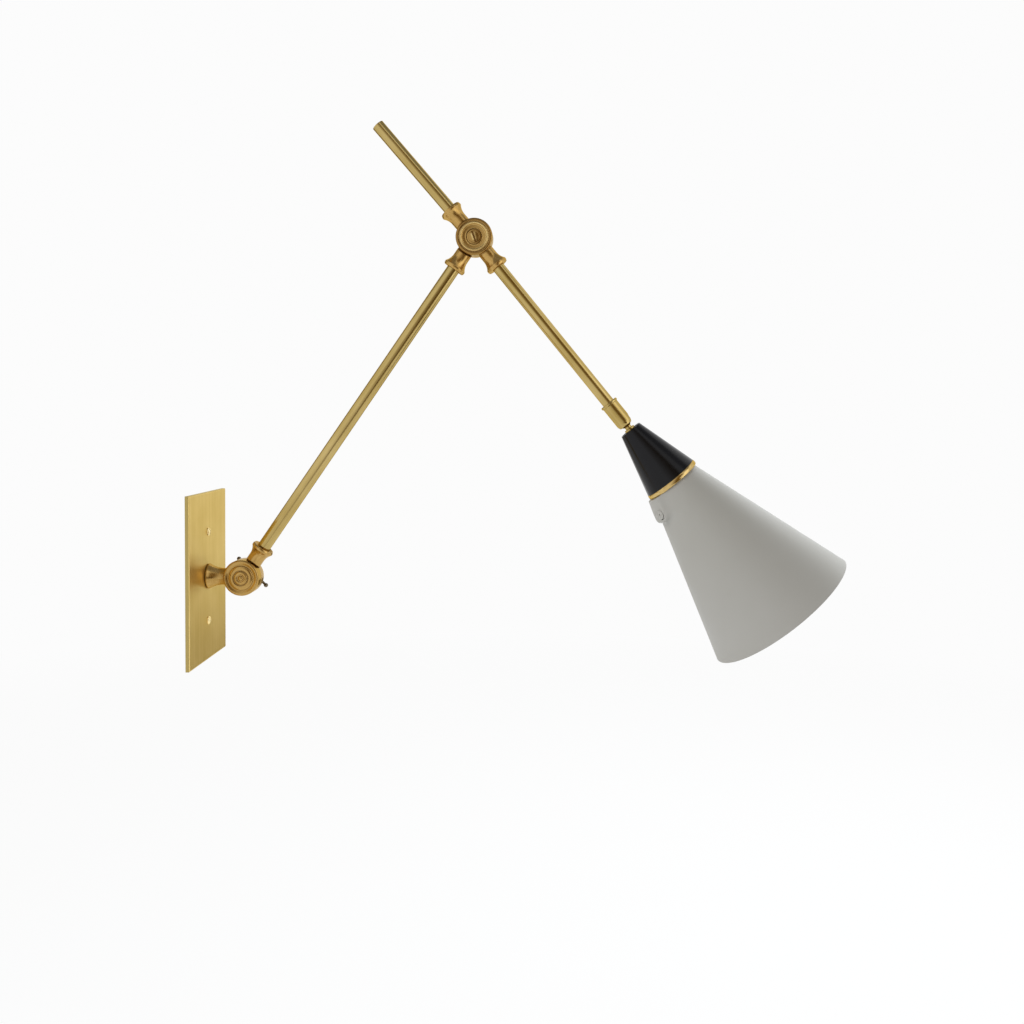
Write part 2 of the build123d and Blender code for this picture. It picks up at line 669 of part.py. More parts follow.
INSULATOR_END = 300.0
LINER_R = 15.2
with BuildPart() as lampholder_shell:
    turn(
        HEAD,
        HEAD_DOWN,
        [
            (16.25, 282.0),
            (HOLDER_R, 282.0),
            (HOLDER_R, 302.4),
            (19.4, 302.4),
            (19.4, 304.7),
            (HOLDER_R, 304.7),
            (HOLDER_R, HOLDER_END - 0.8),
            (HOLDER_R - 0.8, HOLDER_END),
            (14.0, HOLDER_END),
            (14.0, HOLDER_END - 2.5),
            (LINER_R, HOLDER_END - 2.5),
            (LINER_R, 284.2),
            (16.25, 284.2),
        ],
    )
finish(lampholder_shell, "lampholder_shell")

with BuildPart() as lampholder_insulator:
    rod(HEAD, HEAD_DOWN, LINER_R - FIT, 286.0, 296.0)
    ring(HEAD, HEAD_DOWN, SCREW_SHELL_R + 0.7, LINER_R - FIT, 296.0, INSULATOR_END)
    rod(HEAD, HEAD_DOWN, LEAD_R + 0.3, 285.0, 290.0, Mode.SUBTRACT)
finish(lampholder_insulator, "lampholder_insulator")

with BuildPart() as lampholder_screw_shell:
    ring(HEAD, HEAD_DOWN, SCREW_SHELL_R, SCREW_SHELL_R + 0.6, 299.0, HOLDER_END - 3.0)
finish(lampholder_screw_shell, "lampholder_screw_shell")

with BuildPart() as lampholder_contact:
    turn(HEAD, HEAD_DOWN, [(0, 296.0), (4.5, 296.0), (4.5, 296.8), (2.2, 298.6), (0, 298.6)])
finish(lampholder_contact, "lampholder_contact")

# Polished ring between the cap and the shade
with BuildPart() as cap_ring:
    with BuildSketch(section_plane(HEAD, HEAD_DOWN)) as ring_section:
        with BuildLine():
            top = Polyline((19.8, CAP_END + FIT), (RING_R - 0.5, CAP_END + FIT))
            corner = Line(top @ 1, (RING_R - 0.2, CAP_END + 0.4))
            bulge = ThreePointArc(corner @ 1, (RING_R + 0.25, CAP_END + 2.3), (RING_R, CAP_END + 4.2))
            skirt = Polyline(bulge @ 1, (RING_R - 0.3, CAP_END + 4.6), (26.6, CAP_END + 4.6))
            ledge = Polyline(skirt @ 1, (26.3, CAP_END + 3.7), (19.8, CAP_END + 3.7))
            Line(ledge @ 1, top @ 0)
        make_face()
    revolve(ring_section.sketch, axis=Axis(HEAD, HEAD_DOWN))
finish(cap_ring, "cap_ring")

# Place of the push switch: a plane that touches the cone, with X down the cone and Z out of it
SHADE_SLOPE = (SHADE_END_R - SHADE_TOP_R) / (SHADE_END - SHADE_START)
SHADE_SKIN = SHADE_WALL * hypot(1, SHADE_SLOPE)
SWITCH_SIDE = ACROSS.cross(HEAD_DOWN)
SWITCH_OUT = SWITCH_SIDE * cos(radians(SWITCH_TURN)) + FRONT * sin(radians(SWITCH_TURN))
SWITCH_CONE_R = SHADE_TOP_R + SHADE_SLOPE * (SWITCH_REACH - SHADE_START)
SWITCH_PLACE = HEAD + HEAD_DOWN * SWITCH_REACH + SWITCH_OUT * SWITCH_CONE_R
DOWN_CONE = (HEAD_DOWN + SWITCH_OUT * SHADE_SLOPE).normalized()
OFF_CONE = (SWITCH_OUT - HEAD_DOWN * SHADE_SLOPE).normalized()
SWITCH_PLANE = Plane(origin=SWITCH_PLACE, x_dir=DOWN_CONE, z_dir=OFF_CONE)


def switch_rod(radius, start, end, mode=Mode.ADD):
    """A round rod or hole on the push switch's axis."""
    with BuildSketch(SWITCH_PLANE.offset(start)) as disc:
        Circle(radius)
    extrude(disc.sketch, amount=end - start, mode=mode)


# Conical shade with a flat top that the lampholder's ring clamps
SHADE_TOP_THICK = 1.2
with BuildPart() as shade:
    turn(
        HEAD,
        HEAD_DOWN,
        [
            (HOLDER_R + 0.3, SHADE_START),
            (SHADE_TOP_R, SHADE_START),
            (SHADE_END_R, SHADE_END),
            (SHADE_END_R - SHADE_SKIN, SHADE_END),
            (SHADE_TOP_R - SHADE_SKIN + SHADE_SLOPE * SHADE_TOP_THICK, SHADE_START + SHADE_TOP_THICK),
            (HOLDER_R + 0.3, SHADE_START + SHADE_TOP_THICK),
        ],
    )
    switch_rod(2.6, -3, 3, Mode.SUBTRACT)
finish(shade, "shade")

RING_NUT_START = SHADE_START + SHADE_TOP_THICK + FIT
with BuildPart() as shade_ring_nut:
    ring(HEAD, HEAD_DOWN, HOLDER_R + FIT, 21.5, RING_NUT_START, RING_NUT_START + 4)
    with BuildSketch(square_plane(HEAD, HEAD_DOWN, RING_NUT_START - 1)) as notches:
        with PolarLocations(22.2, 12):
            Circle(1.8)
    extrude(notches.sketch, amount=6, mode=Mode.SUBTRACT)
finish(shade_ring_nut, "shade_ring_nut")

# Round-ended switch housing on the shade, from the ring down
HOUSING_START = CAP_END + 4.7
with BuildPart() as switch_housing:
    with BuildSketch(SWITCH_PLANE.offset(-4)) as tongue:
        Circle(SWITCH_R)
        with Locations((-15, 0)):
            Rectangle(30, 2 * SWITCH_R)
    extrude(tongue.sketch, amount=SWITCH_RISE + 4)
    tongue_top = switch_housing.faces().sort_by(Axis(SWITCH_PLACE, OFF_CONE))[-1]
    fillet(tongue_top.edges(), SWITCH_ROUND)
    turn(
        HEAD,
        HEAD_DOWN,
        [
            (0, 270.0),
            (60.0, 270.0),
            (60.0, HOUSING_START),
            (SHADE_TOP_R + FIT + SHADE_SLOPE * (HOUSING_START - SHADE_START), HOUSING_START),
            (SHADE_TOP_R + FIT + SHADE_SLOPE * (350.0 - SHADE_START), 350.0),
            (0, 350.0),
        ],
        Mode.SUBTRACT,
    )
    switch_rod(BUTTON_R + 0.2, -4, SWITCH_RISE + 1, Mode.SUBTRACT)
finish(switch_housing, "switch_housing")

# Push button with a dimple, and the sealed switch inside the shade
BUTTON_TOP = SWITCH_RISE + 0.3
BUTTON_FLOOR = 2.2
with BuildPart() as switch_button:
    switch_rod(BUTTON_R, BUTTON_FLOOR, BUTTON_TOP)
    button_top = switch_button.faces().sort_by(Axis(SWITCH_PLACE, OFF_CONE))[-1]
    fillet(button_top.edges(), 0.5)
    switch_rod(2.0, -5, BUTTON_FLOOR)
    switch_rod(0.9, BUTTON_TOP - 0.6, BUTTON_TOP + 1, Mode.SUBTRACT)
finish(switch_button, "switch_button")

with BuildPart() as switch_body:
    switch_rod(6.2, -10.8, -2.1)
    switch_rod(2.4, -5 - BUTTON_TRAVEL - 0.5, -2, Mode.SUBTRACT)
finish(switch_body, "switch_body")
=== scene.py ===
"""Looks of the swing arm wall lamp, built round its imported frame. Lengths are metres, angles degrees."""

import json
from math import cos, pi, radians, sin

import bmesh
import bpy
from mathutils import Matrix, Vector


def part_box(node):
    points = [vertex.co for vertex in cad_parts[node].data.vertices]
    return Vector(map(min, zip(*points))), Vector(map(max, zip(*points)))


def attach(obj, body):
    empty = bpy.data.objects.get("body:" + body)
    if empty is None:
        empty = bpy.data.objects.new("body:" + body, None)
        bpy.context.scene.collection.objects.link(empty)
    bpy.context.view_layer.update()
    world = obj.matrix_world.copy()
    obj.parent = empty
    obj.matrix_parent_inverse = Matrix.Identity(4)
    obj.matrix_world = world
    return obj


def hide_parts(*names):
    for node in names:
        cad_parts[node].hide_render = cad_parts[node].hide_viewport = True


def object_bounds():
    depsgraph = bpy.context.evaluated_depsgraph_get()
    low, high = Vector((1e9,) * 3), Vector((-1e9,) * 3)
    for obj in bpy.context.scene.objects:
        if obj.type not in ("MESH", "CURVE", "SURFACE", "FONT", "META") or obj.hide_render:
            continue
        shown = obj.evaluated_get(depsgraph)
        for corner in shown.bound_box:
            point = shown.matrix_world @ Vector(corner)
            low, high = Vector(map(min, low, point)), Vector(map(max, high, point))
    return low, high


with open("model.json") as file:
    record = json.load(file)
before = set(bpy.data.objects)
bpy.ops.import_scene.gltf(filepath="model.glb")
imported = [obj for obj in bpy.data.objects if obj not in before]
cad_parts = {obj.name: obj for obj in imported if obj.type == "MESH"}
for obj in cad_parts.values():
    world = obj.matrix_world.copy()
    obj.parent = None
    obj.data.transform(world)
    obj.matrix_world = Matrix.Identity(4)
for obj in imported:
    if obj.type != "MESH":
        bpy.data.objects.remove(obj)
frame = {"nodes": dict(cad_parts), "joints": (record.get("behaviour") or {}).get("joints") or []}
cad_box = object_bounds()
nodes = frame["nodes"]
joints = {joint["name"]: joint for joint in frame["joints"]}
scene = bpy.context.scene
MM = 0.001
TINY = 0.01 * MM
SMOOTH_ANGLE = 35


def middle_of(node):
    """The middle of a CAD node's box, which is on its axis where the node is a round rod or tube."""
    low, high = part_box(node)
    return (low + high) / 2


# Pivots and directions, read from the joints and from the round nodes
WALL = Vector((0, 0, 0))
OUT = Vector((1, 0, 0))
ACROSS = Vector((0, 1, 0))
UP = Vector((0, 0, 1))
BASE = Vector(joints["lower_arm_tilt"]["pos_m"])
ELBOW = Vector(joints["elbow_tilt"]["pos_m"])
BALL = Vector(joints["head_tilt"]["pos_m"])
LOWER_UP = (ELBOW - BASE).normalized()
UPPER_DOWN = Vector(joints["head_swivel"]["axis"]).normalized()
TAIL_UP = (middle_of("tail_tube") - ELBOW).normalized()
HEAD_DOWN = (middle_of("lampholder_insulator") - BALL).normalized()

# Just outside the knuckles' discs, the middle of the painted highlight on the elbow's bead, and the line
# across its screw's slot
DISC_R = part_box("base_stem")[1].z - BASE.z + 0.1 * MM
ELBOW_HIGHLIGHT_R = 12.35 * MM
SLOT_TURN = 20
SLOT_ACROSS = Vector((cos(radians(SLOT_TURN)), 0, sin(radians(SLOT_TURN))))

# Camera, fitted to the plate's corners, the pivots and the shade's rim in the photograph
IMAGE_SIZE = 1024
SENSOR_WIDTH = 36.0
FOCAL_PIXELS = 1068.7
CENTRE_ROW = 479.6
CAMERA_PLACE = (0.33969, -1.04771, 0.16538)
CAMERA_TURN = (86.489, -0.787, 1.908)
NEAREST = 0.01
FARTHEST = 60


def add_camera():
    """A camera at the photograph's viewing angle."""
    data = bpy.data.cameras.new("camera")
    data.sensor_width = SENSOR_WIDTH
    data.lens = SENSOR_WIDTH * FOCAL_PIXELS / IMAGE_SIZE
    data.shift_y = (CENTRE_ROW - IMAGE_SIZE / 2) / IMAGE_SIZE
    data.clip_start = NEAREST
    data.clip_end = FARTHEST
    camera = bpy.data.objects.new("camera", data)
    camera.location = CAMERA_PLACE
    camera.rotation_euler = [radians(angle) for angle in CAMERA_TURN]
    scene.collection.objects.link(camera)
    scene.camera = camera


def linear_colour(rgb):
    """A linear colour with alpha from an sRGB one in 0 to 255."""
    linear = [
        (v / 255) / 12.92 if v / 255 <= 0.04045 else ((v / 255 + 0.055) / 1.055) ** 2.4
        for v in rgb
    ]
    return (*linear, 1.0)


class Shading:
    """A node material that is built one node at a time."""

    def __init__(self, name, **constants):
        self.material = bpy.data.materials.new(name)
        self.material.use_nodes = True
        self.tree = self.material.node_tree
        self.tree.nodes.clear()
        self.output = self.add("ShaderNodeOutputMaterial")
        self.shader = self.add("ShaderNodeBsdfPrincipled")
        self.link(self.shader.outputs["BSDF"], self.output.inputs["Surface"])
        for key, value in constants.items():
            self.shader.inputs[key.replace("_", " ")].default_value = value
        self.place = self.add("ShaderNodeTexCoord").outputs["Object"]

    def add(self, kind, **settings):
        """A new node with its settings."""
        node = self.tree.nodes.new(kind)
        for key, value in settings.items():
            setattr(node, key, value)
        return node

    def link(self, source, target):
        self.tree.links.new(source, target)

    def put(self, socket, value):
        """Link a socket, or set its constant."""
        if isinstance(value, bpy.types.NodeSocket):
            self.link(value, socket)
        else:
            socket.default_value = value

    def math(self, operation, a, b=0.0):
        node = self.add("ShaderNodeMath", operation=operation)
        self.put(node.inputs[0], a)
        self.put(node.inputs[1], b)
        return node.outputs[0]

    def vector(self, operation, a, b=(0, 0, 0)):
        node = self.add("ShaderNodeVectorMath", operation=operation)
        self.put(node.inputs[0], a)
        if operation == "SCALE":
            self.put(node.inputs["Scale"], b)
        else:
            self.put(node.inputs[1], b)
        return node.outputs["Value" if operation in ("DOT_PRODUCT", "LENGTH") else "Vector"]

    def noise(self, vector, scale, detail=2.0, roughness=0.5):
        node = self.add("ShaderNodeTexNoise")
        self.put(node.inputs["Vector"], vector)
        node.inputs["Scale"].default_value = scale
        node.inputs["Detail"].default_value = detail
        node.inputs["Roughness"].default_value = roughness
        return node.outputs["Fac"]

    def spread(self, value, low, high, to_low=0.0, to_high=1.0):
        """Map a value from one range to another, held at its ends."""
        node = self.add("ShaderNodeMapRange")
        self.put(node.inputs["Value"], value)
        ends = {"From Min": low, "From Max": high, "To Min": to_low, "To Max": to_high}
        for name, number in ends.items():
            node.inputs[name].default_value = number
        return node.outputs["Result"]

    def weigh(self, a, b, share):
        """The weighted mean of two values, with a's share."""
        return self.math("ADD", self.math("MULTIPLY", a, share), self.math("MULTIPLY", b, 1 - share))

    def mix(self, factor, a, b):
        """Mix two colours."""
        node = self.add("ShaderNodeMix", data_type="RGBA")
        self.put(node.inputs["Factor"], factor)
        self.put(node.inputs[6], linear_colour(a) if isinstance(a, tuple) else a)
        self.put(node.inputs[7], linear_colour(b) if isinstance(b, tuple) else b)
        return node.outputs[2]

    def along(self, origin, direction):
        """The distance along a line through an origin, and the distance from that line."""
        local = self.vector("SUBTRACT", self.place, tuple(origin))
        height = self.vector("DOT_PRODUCT", local, tuple(direction))
        on_axis = self.vector("SCALE", tuple(direction), height)
        radius = self.vector("LENGTH", self.vector("SUBTRACT", local, on_axis))
        return height, radius

    def grain(self, direction, stretch):
        """Places squeezed along a direction, so that noise on them is drawn out that way."""
        height = self.vector("DOT_PRODUCT", self.place, tuple(direction))
        part = self.vector("SCALE", tuple(direction), self.math("MULTIPLY", height, 1 - 1 / stretch))
        return self.vector("SUBTRACT", self.place, part)

    def combine(self, x, y):
        node = self.add("ShaderNodeCombineXYZ")
        for socket, value in zip(node.inputs, (x, y)):
            self.put(socket, value)
        return node.outputs[0]

    def hollows(self, distance):
        """1 where the surface is open and less in grooves and corners, for the materials' painted shade.
        """
        node = self.add("ShaderNodeAmbientOcclusion", samples=8)
        node.inputs["Distance"].default_value = distance
        return node.outputs["AO"]

    def soft_edges(self, radius):
        """Normals that are rounded over the edges, and a value that is 1 on the edges themselves, where
        materials paint a highlight.
        """
        bevel = self.add("ShaderNodeBevel", samples=6)
        bevel.inputs["Radius"].default_value = radius
        true_normal = self.add("ShaderNodeNewGeometry").outputs["Normal"]
        likeness = self.vector("DOT_PRODUCT", bevel.outputs["Normal"], true_normal)
        return bevel.outputs["Normal"], self.spread(likeness, 0.8, 0.995, 1.0, 0.0)

    def bump(self, height, distance, strength, normal=None):
        node = self.add("ShaderNodeBump")
        node.inputs["Distance"].default_value = distance
        node.inputs["Strength"].default_value = strength
        self.link(height, node.inputs["Height"])
        if normal:
            self.link(normal, node.inputs["Normal"])
        self.link(node.outputs["Normal"], self.shader.inputs["Normal"])

    def colour(self, source):
        self.link(source, self.shader.inputs["Base Color"])

    def roughness(self, source):
        self.link(source, self.shader.inputs["Roughness"])


# Colours and tones in sRGB, 0 to 255
PLATE_LIGHT = (226, 200, 132)
PLATE_DEEP = (210, 182, 108)
# Painted highlight on the plate's front edges and painted shade on its sides
PLATE_EDGE_HIGHLIGHT = (252, 230, 166)
PLATE_SIDE_SHADE = (187, 166, 103)
PLATE_GLANCING = (252, 242, 206)
# Screw brass lighter than the plate's, a painted highlight on the domed heads
SCREW_HIGHLIT_LIGHT = (255, 236, 178)
SCREW_HIGHLIT_DEEP = (244, 218, 154)
TUBE_LIGHT = (199, 176, 117)
TUBE_DEEP = (175, 150, 87)
CAST_LIGHT = (198, 162, 98)
CAST_MIDDLE = (177, 141, 78)
# Painted shade of the castings in grooves, slots and rims, then their painted highlight on edges and the
# bead
CAST_SHADE = (110, 74, 32)
CAST_HIGHLIGHT = (226, 200, 138)
GLANCING = (236, 218, 170)
CAST_GLANCING = (246, 230, 184)
BASE_GLANCING = (255, 252, 240)
RING_LIGHT = (218, 192, 132)
RING_DEEP = (184, 152, 92)
# A darker copy of brass for the clamp screw and tommy bar, a painted shade
SHADED_BRASS_LIGHT = (132, 120, 100)
SHADED_BRASS_DEEP = (64, 54, 42)
ZINC_LIGHT = (188, 188, 184)
ZINC_DEEP = (120, 120, 116)
BLACK_LIGHT = (14, 14, 18)
BLACK_DEEP = (9, 9, 12)
GREY_LIGHT = (175, 173, 169)
GREY_DEEP = (171, 169, 164)
WHITE_LIGHT = (240, 239, 234)
WHITE_DEEP = (234, 233, 227)
PLASTIC_LIGHT = (26, 26, 26)
PLASTIC_DEEP = (18, 18, 18)
FIBRE_LIGHT = (44, 33, 26)
FIBRE_DEEP = (30, 22, 17)
PORCELAIN_LIGHT = (236, 233, 225)
PORCELAIN_DEEP = (226, 222, 212)

# Least and greatest roughness
PLATE_ROUGHNESS = (0.32, 0.44)
TUBE_ROUGHNESS = (0.13, 0.2)
CAST_ROUGHNESS = (0.19, 0.3)
SCREW_ROUGHNESS = (0.16, 0.22)
RING_ROUGHNESS = (0.1, 0.16)

# Scales of the marks on metal and paint, how far marks are drawn out and how deep fine ones are
BRUSH_SCALE = 3200
STREAK_SCALE = 420
TOOL_RING_SCALE = 1500
CAST_STREAK_SCALE = 500
BRASS_CLOUD_SCALE = 22
CAST_CLOUD_SCALE = 75
MOTTLED_CLOUD_SCALE = 220
MOTTLED_GRAIN_SCALE = 2600
PAINT_CLOUD_SCALE = 11
FLOOR_CLOUD_SCALE = 3
BRUSH_STRETCH = 60
CAST_STRETCH = 12
FINE_DEPTH = 0.01 * MM


def brushed_brass(name, direction, deep, light, roughness, edge_highlight=None, glancing=GLANCING):
    """Brushed brass with its grain along a direction, between two tones and two roughnesses.

    Edges get a painted highlight in the light tone, or in an edge highlight's tone on a plate, whose sides
    get painted shade.
    """
    s = Shading(name, Metallic=1.0, Specular_Tint=linear_colour(glancing))
    drawn_out = s.grain(direction, BRUSH_STRETCH)
    fine = s.noise(drawn_out, BRUSH_SCALE, detail=3, roughness=0.6)
    broad = s.noise(drawn_out, STREAK_SCALE)
    cloud = s.noise(s.place, BRASS_CLOUD_SCALE, detail=3, roughness=0.55)
    tone = s.weigh(broad, cloud, 0.45)
    edge_r = 0.9 * MM if edge_highlight else 0.3 * MM
    edge_highlight_share = 0.8 if edge_highlight else 0.5
    normal, edge = s.soft_edges(edge_r)
    body = s.mix(s.spread(tone, 0.34, 0.66), deep, light)
    # A plate's sides get painted shade, and its painted edge highlight stays on the front bevel
    if edge_highlight:
        thickness = s.vector("DOT_PRODUCT", s.place, tuple(OUT))
        body = s.mix(s.spread(thickness, 3.0 * MM, 3.6 * MM), PLATE_SIDE_SHADE, body)
        edge = s.math("MULTIPLY", edge, s.spread(thickness, 2.6 * MM, 3.4 * MM))
    # Painted highlight on the edges
    s.colour(s.mix(s.math("MULTIPLY", edge, edge_highlight_share), body, edge_highlight or light))
    s.roughness(s.spread(fine, 0.3, 0.7, *roughness))
    s.bump(fine, FINE_DEPTH, 0.5, normal)
    return s.material


def with_bead_highlight(s, radius, highlight_radius, body, painted_highlight):
    """Painted highlight on the bead, painted light in the recess inside it and painted shade on the rim
    outside it.
    """
    bead_highlight_share, recess_light_share, rim_shade_share = 0.9, 0.08, 0.45
    off_bead = s.math("ABSOLUTE", s.math("SUBTRACT", radius, highlight_radius))
    # Painted highlight on the bead
    painted_highlight = s.math("MAXIMUM", painted_highlight, s.spread(off_bead, 0.7 * MM, 1.8 * MM, bead_highlight_share, 0.0))
    # Painted light in the recess inside the bead
    recess = s.spread(radius, highlight_radius - 2.6 * MM, highlight_radius - 0.8 * MM, recess_light_share, 0.0)
    body = s.mix(recess, body, CAST_HIGHLIGHT)
    # Painted shade on the rim between the bead and the disc's edge
    past_bead = s.spread(radius, highlight_radius + 1.5 * MM, highlight_radius + 2.8 * MM)
    rim = s.math("MULTIPLY", past_bead, rim_shade_share)
    on_disc = s.spread(radius, DISC_R + 0.6 * MM, DISC_R + 1.2 * MM, 1.0, 0.0)
    return s.mix(s.math("MULTIPLY", rim, on_disc), body, CAST_SHADE), painted_highlight


def with_slot(s, origin, radius, slot, body):
    """Painted shade in a screw's slot and on its head, and painted highlights on the slot's lips."""
    lip_place = 1.6 * MM
    head_shade_share, slot_shade_share = 0.35, 0.8
    local = s.vector("SUBTRACT", s.place, tuple(origin))
    across = s.math("ABSOLUTE", s.vector("DOT_PRODUCT", local, tuple(slot)))
    off_lip = s.math("ABSOLUTE", s.math("SUBTRACT", across, lip_place))
    near = s.spread(radius, 3.0 * MM, 4.2 * MM, 1.0, 0.0)
    # Painted highlights on the slot's lips
    painted_highlight = s.math("MULTIPLY", s.spread(off_lip, 0.4 * MM, 1.0 * MM, 1.0, 0.0), near)
    # Painted shade on the screw head and in the slot
    head = s.mix(head_shade_share, body, CAST_SHADE)
    slot_shade = s.spread(across, 0.7 * MM, 1.0 * MM, slot_shade_share, 0.0)
    return s.mix(slot_shade, head, CAST_SHADE), painted_highlight


def turned_brass(
    name,
    origin,
    direction,
    side_direction=None,
    highlight_radius=0.0,
    reach=4 * MM,
    slot=None,
    glancing=CAST_GLANCING,
):
    """Cast and turned brass: faint tool rings about an axis, painted shade in grooves, painted edge
    highlights.

    With a side direction, what is beyond the disc has its rings about that direction. A bead radius
    paints a highlight on the raised bead, painted light in the recess inside it and painted shade on
    the rim outside it. The reach is how far the painted shade looks for hollows, and slot is the
    direction across a screw's slot, which gets painted shade in the slot and on the head and painted
    highlights on the lips.
    """
    s = Shading(name, Metallic=1.0, Specular_Tint=linear_colour(glancing))
    height, radius = s.along(origin, direction)
    rings = s.noise(s.combine(height, radius), TOOL_RING_SCALE, detail=3, roughness=0.6)
    bands = s.noise(s.combine(height, radius), STREAK_SCALE)
    if side_direction:
        side_height, side_radius = s.along(origin, side_direction)
        side_place = s.combine(side_height, side_radius)
        side_rings = s.noise(side_place, TOOL_RING_SCALE, detail=3, roughness=0.6)
        streaks = s.noise(s.grain(side_direction, CAST_STRETCH), CAST_STREAK_SCALE)
        beyond = s.spread(radius, DISC_R, DISC_R + 1 * MM)
        rings = s.mix(beyond, rings, side_rings)
        bands = s.mix(beyond, bands, streaks)
    cloud = s.noise(s.place, CAST_CLOUD_SCALE, detail=3, roughness=0.6)
    # Painted shade in grooves and corners, from an occlusion node
    unshaded_share = s.spread(s.hollows(reach), 0.25, 0.95)
    tone = s.weigh(bands, cloud, 0.75)
    normal, edge = s.soft_edges(0.7 * MM)
    # Painted highlight on the edges
    painted_highlight = s.math("MULTIPLY", edge, 0.6)
    body = s.mix(s.spread(tone, 0.36, 0.64), CAST_MIDDLE, CAST_LIGHT)
    if highlight_radius:
        body, painted_highlight = with_bead_highlight(s, radius, highlight_radius, body, painted_highlight)
    body = s.mix(unshaded_share, CAST_SHADE, body)
    if slot:
        body, painted_highlight = with_slot(s, origin, radius, slot, body)
    s.colour(s.mix(painted_highlight, body, CAST_HIGHLIGHT))
    s.roughness(s.spread(rings, 0.3, 0.7, *CAST_ROUGHNESS))
    s.bump(rings, FINE_DEPTH, 0.4, normal)
    return s.material


def mottled_metal(name, deep, light, roughness):
    """Plain metal with a soft mottled tone and painted shade in its hollows."""
    s = Shading(name, Metallic=1.0)
    cloud = s.noise(s.place, MOTTLED_CLOUD_SCALE, detail=3, roughness=0.6)
    fine = s.noise(s.place, MOTTLED_GRAIN_SCALE)
    # Painted shade in hollows, from an occlusion node
    unshaded_share = s.spread(s.hollows(2 * MM), 0.3, 0.95)
    normal = s.soft_edges(0.2 * MM)[0]
    share = s.math("MULTIPLY", unshaded_share, s.spread(cloud, 0.35, 0.65, 0.4, 1.0))
    s.colour(s.mix(share, deep, light))
    s.roughness(s.spread(fine, 0.3, 0.7, *roughness))
    s.bump(fine, FINE_DEPTH, 0.4, normal)
    return s.material


def coating(name, deep, light, roughness, grain, depth=FINE_DEPTH, **constants):
    """Paint, plastic or glaze with faint unevenness and a fine skin."""
    s = Shading(name, **constants)
    cloud = s.noise(s.place, PAINT_CLOUD_SCALE, detail=3)
    skin = s.noise(s.place, grain)
    tone = s.weigh(cloud, skin, 0.7)
    s.colour(s.mix(s.spread(tone, 0.36, 0.64), deep, light))
    s.roughness(s.spread(skin, 0.3, 0.7, *roughness))
    s.bump(skin, depth, 0.4)
    return s.material


def dress(material, *names):
    """Give CAD nodes a material."""
    for name in names:
        data = nodes[name].data
        data.materials.clear()
        data.materials.append(material)


def steps(start, end, size):
    """Evenly spaced numbers from start to end, about a size apart."""
    count = max(1, round(abs(end - start) / size))
    return [start + (end - start) * k / count for k in range(count + 1)]


def bend(centre, radius, start, end, count):
    """Points of a round corner in an outline: 0 degrees is outward, and 90 is onward along the axis."""
    return [
        (centre[0] + radius * cos(radians(a)), centre[1] + radius * sin(radians(a)))
        for a in steps(start, end, abs(end - start) / count)
    ]


class Profile:
    """The radii and places of a CAD node about an axis."""

    def __init__(self, node, origin, direction):
        self.points = []
        for vertex in nodes[node].data.vertices:
            local = vertex.co - origin
            along = local.dot(direction)
            self.points.append(((local - direction * along).length, along))
        self.start = min(along for radius, along in self.points)
        self.end = max(along for radius, along in self.points)

    def radii(self, along, reach=0.05 * MM):
        """The least and greatest radius at a place on the axis."""
        here = [radius for radius, place in self.points if abs(place - along) < reach]
        return min(here), max(here)


def add_mesh(name, mesh, materials):
    """An object with a mesh and its materials."""
    bmesh.ops.recalc_face_normals(mesh, faces=mesh.faces)
    data = bpy.data.meshes.new(name)
    mesh.to_mesh(data)
    mesh.free()
    for material in materials:
        data.materials.append(material)
    piece = bpy.data.objects.new(name, data)
    scene.collection.objects.link(piece)
    return piece


def settle(piece, body, replaced, smooth_angle=SMOOTH_ANGLE):
    """Shade a piece and let it ride on its body in place of a CAD node."""
    piece.data.shade_smooth()
    piece.data.set_sharp_from_angle(angle=radians(smooth_angle))
    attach(piece, body)
    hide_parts(replaced)


def cut(piece, cutters):
    """Cut solids out of a piece and leave the result as its mesh."""
    bpy.context.view_layer.update()
    for cutter in cutters:
        modifier = piece.modifiers.new("cut", "BOOLEAN")
        modifier.operation = "DIFFERENCE"
        modifier.object = cutter
        modifier.solver = "EXACT"
    graph = bpy.context.evaluated_depsgraph_get()
    result = bpy.data.meshes.new_from_object(piece.evaluated_get(graph), depsgraph=graph)
    piece.modifiers.clear()
    piece.data = result
    for cutter in cutters:
        bpy.data.objects.remove(cutter)


class Body:
    """A closed mesh turned about an axis, built ring by ring."""

    def __init__(self, origin, direction):
        self.origin = Vector(origin)
        self.direction = Vector(direction).normalized()
        self.side = OUT if abs(self.direction.y) > 0.99 else ACROSS
        self.other = self.direction.cross(self.side)
        self.mesh = bmesh.new()

    def point(self, radius, along, angle):
        across = self.side * cos(angle) + self.other * sin(angle)
        return self.origin + self.direction * along + across * radius

    def turn(self, outline, segments, wave=None, skins=None):
        """Turn a closed outline of (radius, distance) points.

        wave adds to a point's radius, and skins gives the material of each stretch of the outline.
        """
        rings = []
        for radius, along in outline:
            if radius < TINY:
                rings.append([self.mesh.verts.new(self.point(0, along, 0))] * segments)
                continue
            ring = []
            for k in range(segments):
                angle = 2 * pi * k / segments
                extra = wave(radius, along, angle) if wave else 0.0
                ring.append(self.mesh.verts.new(self.point(radius + extra, along, angle)))
            rings.append(ring)
        for k, ring in enumerate(rings):
            after = rings[(k + 1) % len(rings)]
            for j in range(segments):
                following = (j + 1) % segments
                corners = (ring[j], ring[following], after[following], after[j])
                distinct = list(dict.fromkeys(corners))
                if len(distinct) > 2:
                    face = self.mesh.faces.new(distinct)
                    face.material_index = skins[k] if skins else 0

    def finish(self, name, body, materials, replaced):
        """Make the mesh a piece that rides on a body in place of a CAD node."""
        settle(add_mesh(name, self.mesh, materials), body, replaced)


